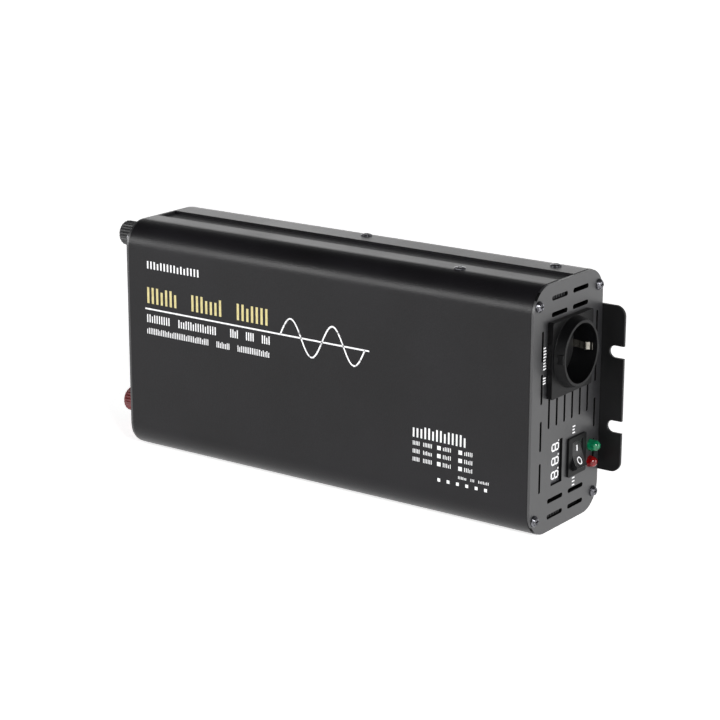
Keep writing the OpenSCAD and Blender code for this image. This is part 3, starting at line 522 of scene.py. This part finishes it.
def sink_panel(work):
    """The same for the marks on the outlet panel, and painted shade on its openings' walls, which take the
    near-black second material
    """
    for vert in work.verts:
        if vert.co.x > panel_face - INK / 2:
            vert.co.x -= INK
    # The panel's own outer edge, with its rounded corners' flats, lies within this of its box
    outer_edge = 3.5 * MM
    for face in work.faces:
        spot = face.calc_center_median()
        rim = min(
            spot.y - panel_low.y,
            panel_high.y - spot.y,
            spot.z - panel_low.z,
            panel_high.z - spot.z,
        )
        # Faces of the openings' walls get the second material, near-black painted shade
        if abs(face.normal.x) < 0.1 and rim > outer_edge:
            face.material_index = 1


soften("front_shell", 0.3 * MM, sink=sink_front)
soften("rear_shell", 0.3 * MM)
soften("top_rail", 0.25 * MM)
soften("bottom_rail", 0.25 * MM)
panel_piece = soften("outlet_panel", 0.08 * MM, sheet_black_lightened_painted_light, sink=sink_panel)
# The panel's second material: near-black painted shade for its openings' walls
panel_piece.data.materials.append(opening_walls_painted_shade)
soften("terminal_panel", 0.25 * MM, sheet_black_lightened_painted_light)
soften("back_plate", 0.4 * MM, powder_coat)
for screws in (
    "outlet_panel_screws",
    "terminal_panel_screws",
    "top_case_screws",
    "bottom_case_screws",
    "back_plate_screws",
    "fan_screws",
):
    soften(screws, 0.2 * MM)

# ---- Printed marks ----


def on_front(u, v, depth):
    """u mm from the terminal end and v mm above the floor, on the front face"""
    return Vector((case_start + u * MM, front_y + INK - depth, v * MM))


def on_panel(u, v, depth):
    """u mm from the front face and v mm above the floor, on the outlet panel"""
    return Vector((panel_face - INK + depth, front_y + u * MM, v * MM))


def strokes(work, to_point, start, end, base, height, stroke, words, seed, upright=False):
    """A row of upright strokes in word-like groups that spells nothing, all measures in mm"""
    word_gap, pitch_to_stroke, heights = 1.6, 2.3, (1.0, 1.0, 1.0, 0.8)
    draw = random.Random(seed)
    total = sum(words) + word_gap * (len(words) - 1)
    unit = (end - start) / total
    at = start
    for letters in words:
        stop = at + letters * unit
        count = max(1, round((stop - at) / (pitch_to_stroke * stroke)))
        pitch = (stop - at) / count
        for i in range(count):
            tall = height * draw.choice(heights)
            left = at + i * pitch
            outline = bar(left, base, left + stroke, base + tall)
            if upright:
                outline = [(v, u) for u, v in outline][::-1]
            slab(work, outline, to_point, INK)
        at = stop + word_gap * unit


# Rows of strokes: start, end, base, height, stroke, word lengths, seed
heading_row = (18.6, 128, 109.5, 11.5, 1.9, [4, 4, 4], 3)
title_rows = [
    (19, 67.5, 134.4, 5.4, 1.3, [8], 5),
    (18, 81.6, 95.6, 5.8, 0.95, [5, 8], 7),
    (93.2, 128.4, 96.4, 5.8, 0.95, [2, 2, 2], 8),
    (17.8, 127.8, 87.2, 4.4, 0.7, [14, 3, 7], 9),
]
rating_row = (245.3, 288, 53.6, 7.8, 1.3, [5], 11)
small_row = (281, 305, 31.6, 1.9, 0.5, [4, 2, 5], 23)
panel_rows = [
    (101, 126, 12.9, 3.2, 0.9, [2, 6], 29),
    (59, 65.4, 51.6, 3.2, 0.9, [2], 31),
    (23.2, 30.4, 52.6, 3.2, 0.9, [3], 37),
]
axis_line = bar(16.5, 104.8, 210.2, 105.9)
# The table under the rating: rows' bases, columns' boxes, and the strokes' height and width
table = {"bases": (48.2, 42.7, 37.2), "boxes": (264.5, 281), "height": 2.8, "stroke": 0.55}
# The line of small squares below it
squares = {"count": 6, "start": 265, "pitch": 7.2, "base": 26.8, "side": 2.2}


def front_marks():
    """Heading in gold; axis line and small rows in white"""
    gold = bmesh.new()
    strokes(gold, on_front, *heading_row)
    show("gold_heading", gold, gold_ink, "front_shell")
    white = bmesh.new()
    for row in title_rows:
        strokes(white, on_front, *row)
    slab(white, axis_line, on_front, INK)
    strokes(white, on_front, *rating_row)
    height, stroke = table["height"], table["stroke"]
    for row, base in enumerate(table["bases"]):
        strokes(white, on_front, 245.4, 261, base, height, stroke, [4, 5], 13 + row)
        for box in table["boxes"]:
            slab(white, bar(box, base, box + height, base + height), on_front, INK)
            strokes(white, on_front, box + 4.6, box + 11.4, base, height, stroke, [3], 17 + row)
    strokes(white, on_front, *small_row)
    for i in range(squares["count"]):
        left, base, side = squares["start"] + i * squares["pitch"], squares["base"], squares["side"]
        slab(white, bar(left, base, left + side, base + side), on_front, INK)
    show("white_print", white, white_ink, "front_shell")


def sine_mark():
    """Two periods of a sine wave on the axis line; half_stroke is half its line's width"""
    start, period, rise, half_stroke, steps = 136.6, 35.0, 12.0, 0.55, 96
    axis_v = (axis_line[0][1] + axis_line[2][1]) / 2
    work = bmesh.new()
    wave = [
        (
            start + 2 * period * i / steps,
            axis_v + rise * math.sin(2 * math.tau * i / steps),
            rise * math.tau / period * math.cos(2 * math.tau * i / steps),
        )
        for i in range(steps + 1)
    ]
    offsets = []
    for u, v, slope in wave:
        length = math.hypot(1, slope)
        offsets.append((-slope / length * half_stroke, 1 / length * half_stroke))
    for i in range(steps):
        (u0, v0, _), (u1, v1, _) = wave[i], wave[i + 1]
        (a0, b0), (a1, b1) = offsets[i], offsets[i + 1]
        outline = [(u0 - a0, v0 - b0), (u1 - a1, v1 - b1), (u1 + a1, v1 + b1), (u0 + a0, v0 + b0)]
        slab(work, outline, on_front, INK)
    bmesh.ops.remove_doubles(work, verts=work.verts, dist=0.001 * MM)
    show("sine_print", work, white_ink, "front_shell")


def panel_marks():
    """Short plain strokes beside the outlet and above and below the switch"""
    work = bmesh.new()
    for row in panel_rows:
        strokes(work, on_panel, *row, upright=True)
    show("panel_print", work, white_ink, "outlet_panel")


front_marks()
sine_mark()
panel_marks()

# ---- Outlet ----

soften("outlet_body", 0.35 * MM, segments=3)
soften("outlet_insert", 0.3 * MM)
soften("earth_clips", 0.12 * MM)

# ---- Switch ----

soften("switch_body", 0.3 * MM)
soften("power_rocker", 0.35 * MM, segments=3)

# Swing in degrees; radius of the dished face, and its centre's distance from the hinge
rocker = {"swing": 30, "dish": 20 * MM, "dish_centre": 22.195 * MM}
hinge = Vector(next(j["pos_m"] for j in frame["joints"] if j["child"] == "rocker"))
tilt = Matrix.Rotation(math.radians(-rocker["swing"] / 2), 4, "Y")
mark_thick = 0.1 * MM
mark_sink = 0.02 * MM


def on_rocker(u, v, depth):
    """u across and v up the rocker's dished face, in metres from its middle"""
    sag = rocker["dish_centre"] - math.sqrt(rocker["dish"] ** 2 - v * v)
    return hinge + Vector((0, middle("power_rocker").y - hinge.y, 0)) + tilt @ Vector(
        (sag - mark_sink + depth, u, v)
    )


def rocker_marks():
    """A short bar for on and a ring for off"""
    work = bmesh.new()
    slab(work, bar(-0.6 * MM, 2.2 * MM, 0.6 * MM, 6 * MM), on_rocker, mark_thick)
    wide, tall, stroke, ring_v, steps = 2.5 * MM, 2.6 * MM, 0.8 * MM, -4.4 * MM, 32
    for i in range(steps):
        a, b = i * math.tau / steps, (i + 1) * math.tau / steps
        outline = [
            (wide * math.cos(a), ring_v + tall * math.sin(a)),
            (wide * math.cos(b), ring_v + tall * math.sin(b)),
            ((wide - stroke) * math.cos(b), ring_v + (tall - stroke) * math.sin(b)),
            ((wide - stroke) * math.cos(a), ring_v + (tall - stroke) * math.sin(a)),
        ]
        slab(work, outline, on_rocker, mark_thick)
    bmesh.ops.remove_doubles(work, verts=work.verts, dist=0.001 * MM)
    show("rocker_marks", work, white_ink, "power_rocker")


rocker_marks()

# ---- Display and lamps ----

soften("display_module", 0.2 * MM)


def on_display(u, v, depth):
    """u mm up the figures, which lie on their side, and v mm along their row"""
    # The row stands off the window's middle, so that the window's near edge leaves it in sight
    aside = 1.1
    centre = middle("display_module")
    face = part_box("display_module")[1].x
    return Vector((face + depth, centre.y + (aside - u) * MM, centre.z + v * MM))


def display_digits():
    """Three seven-segment figures with their points, all lit"""
    work = bmesh.new()
    width, height, stroke, gap, pitch = 5.4, 9.2, 1.15, 0.12, 9.4
    dot_r, dot_gap, dot_sides = 0.7, 1.6, 12
    half_w, half_h, s = width / 2 - stroke / 2, height / 2 - stroke / 2, stroke / 2
    segments = [((-half_h, -half_w), (-half_h, half_w)), ((0, -half_w), (0, half_w))]
    segments += [((half_h, -half_w), (half_h, half_w))]
    for side in (-half_w, half_w):
        segments += [((-half_h, side), (0, side)), ((0, side), (half_h, side))]
    for digit in (-1, 0, 1):
        for (u0, v0), (u1, v1) in segments:
            du, dv = (1, 0) if u0 != u1 else (0, 1)
            u0, v0, u1, v1 = u0 + gap * du, v0 + gap * dv, u1 - gap * du, v1 - gap * dv
            outline = [
                (u0, v0),
                (u0 + s * du + s * dv, v0 + s * dv - s * du),
                (u1 - s * du + s * dv, v1 - s * dv - s * du),
                (u1, v1),
                (u1 - s * du - s * dv, v1 - s * dv + s * du),
                (u0 + s * du - s * dv, v0 + s * dv + s * du),
            ]
            slab(work, [(u, v + digit * pitch) for u, v in outline], on_display, mark_thick)
        dot = [
            (
                -half_h + dot_r * math.cos(k * math.tau / dot_sides),
                half_w + dot_gap + dot_r * math.sin(k * math.tau / dot_sides),
            )
            for k in range(dot_sides)
        ]
        slab(work, [(u, v + digit * pitch) for u, v in dot], on_display, mark_thick)
    bmesh.ops.recalc_face_normals(work, faces=work.faces)
    show("display_digits", work, white_ink, "display_module")


def lamp(node, material):
    """A domed cap on a stem, with a rim behind the panel and two leads"""
    low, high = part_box(node)
    centre = (low + high) / 2
    stem, rim, lead, lead_apart = 2.5 * MM, 2.9 * MM, 0.3 * MM, 2.54 * MM
    base, length = (high.y - low.y) / 2, high.x - panel_face
    dome = base - 0.4 * MM
    panel_back, rim_back = panel_face - 2 * MM, panel_face - 3 * MM
    profile = [(rim_back, 0), (rim_back, rim), (panel_back, rim)]
    profile += [(panel_back, stem), (panel_face, stem), (panel_face, base)]
    steps = 12
    for k in range(steps):
        angle = k * math.pi / 2 / steps
        profile.append(
            (panel_face + length - dome + dome * math.sin(angle), dome * math.cos(angle))
        )
    profile += [(panel_face + length, 0)]
    work = bmesh.new()
    lathe(work, profile, Vector((0, centre.y, centre.z)), 40)
    root = rim_back + 0.1 * MM
    for side in (-1, 1):
        legs = [(low.x, 0), (low.x, lead), (root, lead), (root, 0)]
        lathe(work, legs, Vector((0, centre.y, centre.z + side * lead_apart / 2)), 12)
    bmesh.ops.recalc_face_normals(work, faces=work.faces)
    show(node + "_lens", work, material, node, replace=True, sharp=50)


display_digits()
lamp("green_lamp", green_epoxy)
lamp("red_lamp", red_epoxy)

# ---- Battery terminals ----


def ribbed_knob(node, material):
    """Grip knob with rounded ribs, a domed outer end and a collar at its base"""
    low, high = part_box(node)
    centre = (low + high) / 2
    ribs, per_rib, deep = 22, 8, 0.7 * MM
    radius, bore, bore_deep = 9, 4.05, 26
    length = (high.x - low.x) / MM
    around = ribs * per_rib
    # Along the knob in mm from its outer end, radius in mm, and how deep the grip's grooves are cut
    profile = [(0.5, 0, 0), (0.5, 5.4, 0), (0.15, 6.2, 0), (0, 6.9, 0), (0.12, 7.7, 0.1)]
    profile += [(0.5, 8.4, 0.4), (1.0, 8.8, 0.8), (1.6, radius, 1)]
    profile += [(2 + i * 2.3, radius, 1) for i in range(11)]
    profile += [(26.2, radius, 0.8), (26.8, radius, 0)]
    profile += [(27, 8.6, 0), (27.6, 8.6, 0), (27.8, radius, 0)]
    profile += [(length - 0.3, radius, 0), (length, radius - 0.3, 0), (length, bore, 0)]
    profile += [(length - bore_deep, bore, 0), (length - bore_deep, 0, 0)]
    work = bmesh.new()
    rings = []
    for along, reach, grip in profile:

        def ribbed(k):
            groove = (0.5 + 0.5 * math.cos(k * math.tau / per_rib)) ** 2
            return reach * MM - deep * grip * groove

        place = Vector((low.x + along * MM, centre.y, centre.z))
        rings.append(ring(work, place, around if reach else 1, ribbed))
    skin(work, rings, around)
    bmesh.ops.recalc_face_normals(work, faces=work.faces)
    show(node + "_grip", work, material, node, replace=True, sharp=40)


def threaded_stud(node):
    """A stud with its thread cut as a rising ridge"""
    low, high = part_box(node)
    centre = (low + high) / 2
    radius, pitch, deep, around, per_turn = 4 * MM, 1.25 * MM, 0.7 * MM, 32, 8
    chamfer = 0.8 * MM
    full = high.x - low.x
    count = round(full / pitch * per_turn)
    work = bmesh.new()
    rings = [[work.verts.new((low.x, centre.y, centre.z))]]
    for i in range(count + 1):
        along = full * i / count
        end_cut = max(0, chamfer - along, chamfer - (full - along))

        def ridged(k):
            phase = (along / pitch - k / around) % 1
            return min(radius - deep * abs(2 * phase - 1), radius - end_cut)

        place = Vector((low.x + along, centre.y, centre.z))
        rings.append(ring(work, place, around, ridged))
    rings.append([work.verts.new((high.x, centre.y, centre.z))])
    skin(work, rings, around)
    bmesh.ops.recalc_face_normals(work, faces=work.faces)
    show(node + "_thread", work, brass, node, replace=True, sharp=50)


for side, plastic in (("negative", black_phenolic), ("positive", red_phenolic)):
    ribbed_knob(side + "_knob", plastic)
    threaded_stud(side + "_stud")
    soften(side + "_bush", 0.6 * MM, segments=3)
    soften(side + "_washer", 0.25 * MM)

# ---- Fan ----


# The blades: radii, depth of the rotor, thickness, chord and camber in metres, angles in degrees
blade = {
    "count": 7,
    "root": 12.6 * MM,
    "tip": 31.5 * MM,
    "depth": 17 * MM,
    "thick": 1.3 * MM,
    "chord": 16 * MM,
    "camber": 1.6 * MM,
    "root_angle": 48,
    "twist": 18,
    "sweep": 0.25,
    "out": 9,
    "along": 12,
}


def blade_point(share, chord_share, face):
    """A point on one face of the first blade, from hub to tip and along the chord, each 0 to 1"""
    radius = blade["root"] + (blade["tip"] - blade["root"]) * share
    slant = math.radians(blade["root_angle"] - blade["twist"] * share)
    chord = (chord_share - 0.5) * blade["chord"]
    from_middle = 2 * chord_share - 1
    bow = blade["camber"] * (1 - from_middle**2)
    edge = math.sqrt(max(0.06, 1 - from_middle**4))
    offset = bow + face * blade["thick"] / 2 * edge
    x = chord * math.cos(slant) - offset * math.sin(slant)
    around = chord * math.sin(slant) + offset * math.cos(slant)
    angle = around / radius + blade["sweep"] * share
    return Vector((x + blade["depth"] / 2, radius * math.sin(angle), radius * math.cos(angle)))


def fan_rotor():
    """Hub with a rounded rim, shaft, and twisted, cambered blades"""
    low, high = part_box("fan_rotor")
    centre = middle("fan_rotor")
    origin = Vector((low.x, centre.y, centre.z))
    work = bmesh.new()
    profile = [(0.6, 0), (0.6, 9), (0, 10), (0, 11.6), (0.4, 12.6), (1.4, 13), (17, 13), (17, 1.5)]
    profile += [((high.x - low.x) / MM, 1.5), ((high.x - low.x) / MM, 0)]
    lathe(work, [(a * MM, r * MM) for a, r in profile], origin, 72)
    out, along = blade["out"], blade["along"]
    for number in range(blade["count"]):
        turn = Matrix.Rotation(number * math.tau / blade["count"], 4, "X")
        back, fore = (
            [
                [
                    work.verts.new(turn @ blade_point(i / out, k / along, face) + origin)
                    for k in range(along + 1)
                ]
                for i in range(out + 1)
            ]
            for face in (-1, 1)
        )
        for i in range(out):
            for k in range(along):
                work.faces.new([fore[i][k], fore[i][k + 1], fore[i + 1][k + 1], fore[i + 1][k]])
                work.faces.new([back[i][k], back[i + 1][k], back[i + 1][k + 1], back[i][k + 1]])
            for k in (0, along):
                work.faces.new([fore[i][k], fore[i + 1][k], back[i + 1][k], back[i][k]])
        for i in (0, out):
            for k in range(along):
                work.faces.new([fore[i][k], fore[i][k + 1], back[i][k + 1], back[i][k]])
    bmesh.ops.recalc_face_normals(work, faces=work.faces)
    show("fan_blades", work, black_pbt, "fan_rotor", replace=True, sharp=45)


fan_rotor()
soften("fan_frame", 0.4 * MM)

# ---- Camera, lights and floor ----

view = {
    "lens": 110.15,
    "place": (0.8615, -1.1737, 0.4886),
    "down": 15.65,
    "roll": -0.1,
    "turn": 35.85,
}
camera_data = bpy.data.cameras.new("camera")
camera_data.lens = view["lens"]
camera_data.sensor_width = 36
camera_data.clip_end = 30
camera = bpy.data.objects.new("camera", camera_data)
camera.location = view["place"]
camera.rotation_euler = [math.radians(a) for a in (90 - view["down"], view["roll"], view["turn"])]
scene.collection.objects.link(camera)
scene.camera = camera
scene.view_settings.view_transform = "Standard"


def light(name, place, target, size, power):
    """A rectangular softbox at place, facing target, in metres and watts"""
    data = bpy.data.lights.new(name, "AREA")
    data.shape = "RECTANGLE"
    data.size, data.size_y = size
    data.energy = power
    lamp_object = bpy.data.objects.new(name, data)
    lamp_object.location = place
    aim = Vector(target) - Vector(place)
    lamp_object.rotation_euler = aim.to_track_quat("-Z", "Y").to_euler()
    scene.collection.objects.link(lamp_object)


# A white sweep all round: bright at the horizon, and dark overhead where the studio has no light
world = bpy.data.worlds.new("studio")
scene.world = world
world.use_nodes = True
sky = world.node_tree
up = add_node(
    sky, "ShaderNodeSeparateXYZ", links={0: add_node(sky, "ShaderNodeTexCoord").outputs["Generated"]}
)
band = add_node(sky, "ShaderNodeValToRGB", links={"Fac": up.outputs["Z"]})
band.color_ramp.elements[0].position = 0.05
band.color_ramp.elements[0].color = linear("#FFFFFF")
band.color_ramp.elements[1].position = 0.7
band.color_ramp.elements[1].color = linear("#272727")
sky.nodes["Background"].inputs["Strength"].default_value = 0.9
sky.links.new(band.outputs["Color"], sky.nodes["Background"].inputs["Color"])

# Behind: the sheen along the top. Small: glints on screws and lamps. Front: the glow along the
# upper front edge. Side: a little fill on the outlet end.
light("back_softbox", (-1.9, 2.6, 0.75), (0, 0, 0.1), (3.2, 1.1), 11)
light("small_lamp", (1.7, -1.2, 1.1), (0.15, 0, 0.08), (0.5, 0.5), 30)
light("front_softbox", (-1.5, -2.1, 0.95), (0, 0, 0.1), (1.6, 0.7), 28)
light("side_softbox", (2.2, 1.0, 0.5), (0, 0, 0.1), (1.0, 1.0), 12)

floor_reach, floor_thick = 12, 0.01


def on_floor(u, v, depth):
    return Vector((u, v, depth - floor_thick))


floor_mesh = bpy.data.meshes.new("floor")
floor_work = bmesh.new()
slab(floor_work, bar(-floor_reach, -floor_reach, floor_reach, floor_reach), on_floor, floor_thick)
floor_work.to_mesh(floor_mesh)
floor_work.free()
floor = bpy.data.objects.new("floor", floor_mesh)
scene.collection.objects.link(floor)
paper = bpy.data.materials.new("white paper sweep")
paper.use_nodes = True
sheet = paper.node_tree.nodes["Principled BSDF"]
sheet.inputs["Base Color"].default_value = linear("#EDEDED")
sheet.inputs["Roughness"].default_value = 0.9
sheet.inputs["Emission Color"].default_value = linear("#FFFFFF")
sheet.inputs["Emission Strength"].default_value = 0.7
floor_mesh.materials.append(paper)
